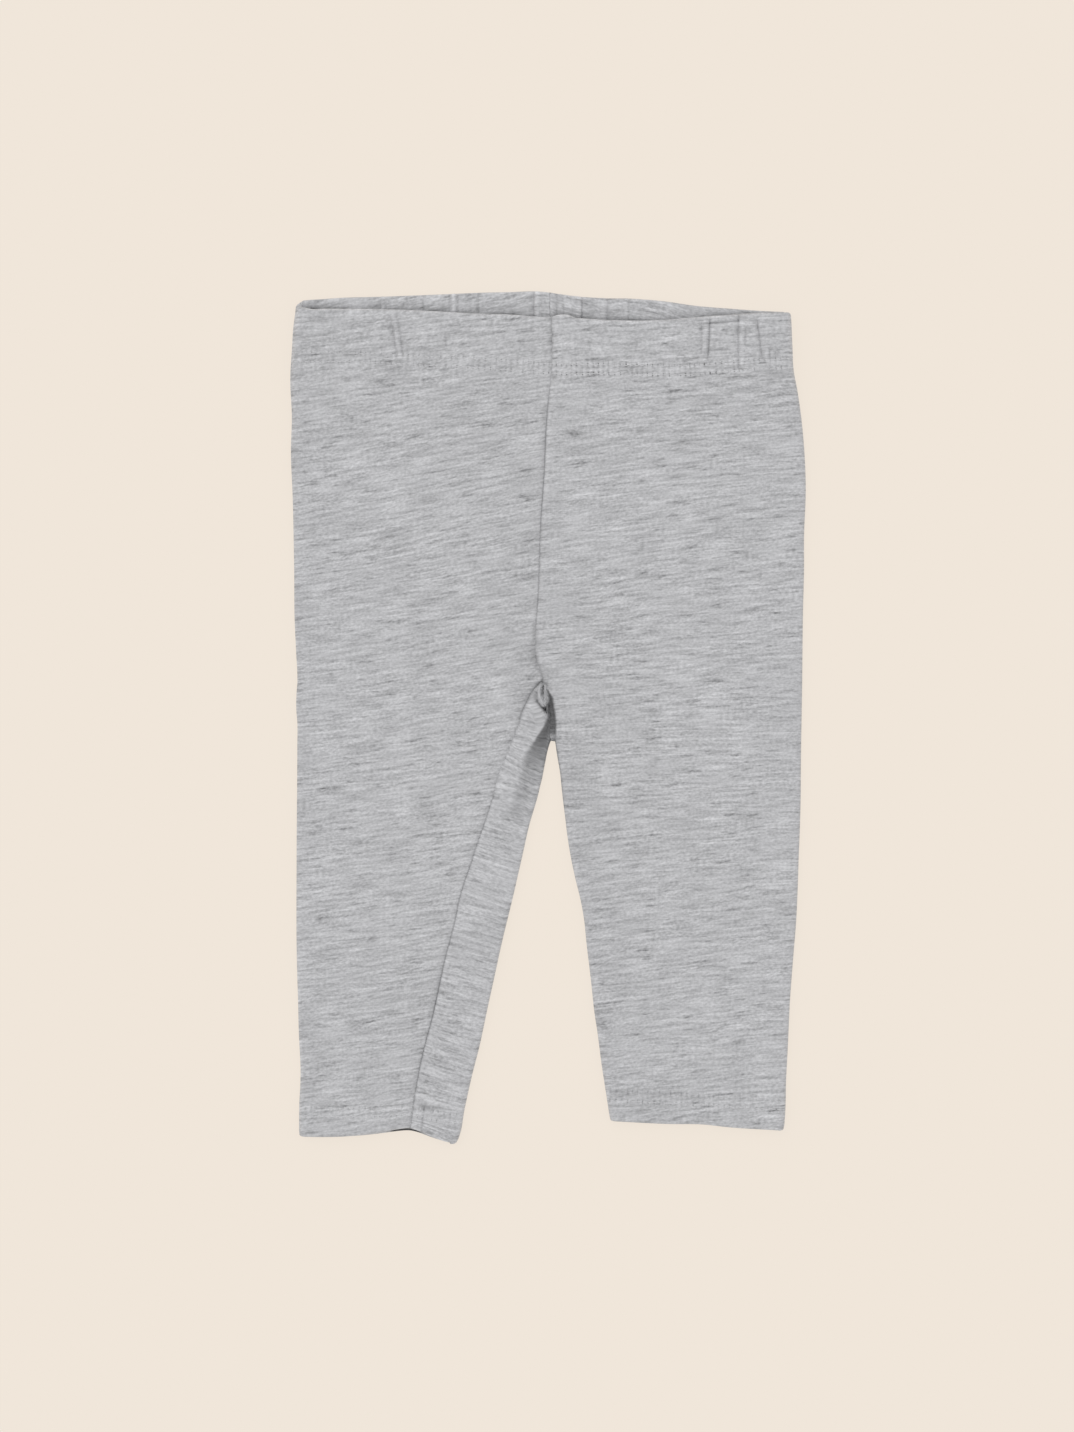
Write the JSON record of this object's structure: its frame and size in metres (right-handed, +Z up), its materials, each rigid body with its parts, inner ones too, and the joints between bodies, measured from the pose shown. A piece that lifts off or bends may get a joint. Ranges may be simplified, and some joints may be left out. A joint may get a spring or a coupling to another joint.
{
  "type": "baby leggings",
  "caption": "Baby leggings in fine melange jersey, laid flat on their back, with a turned-down elastic waist, centre seams, a twisted leg and turned-up hems.",
  "frame": {"origin": "on the table under the middle of the garment's bounding box", "axes": "+X to the wearer's left across the garment, +Y along it from the hems up to the waist, +Z up from the table through the back and the front layer"},
  "size_m": [0.2108, 0.3482, 0.006],
  "materials": {
    "jersey": "matt light grey melange cotton jersey"
  },
  "bodies": {
    "root": {"leg_right": "jersey", "leg_left": "jersey", "waistband_right": "jersey", "waistband_left": "jersey", "hem_right": "jersey", "hem_left": "jersey"}
  },
  "joints": []
}
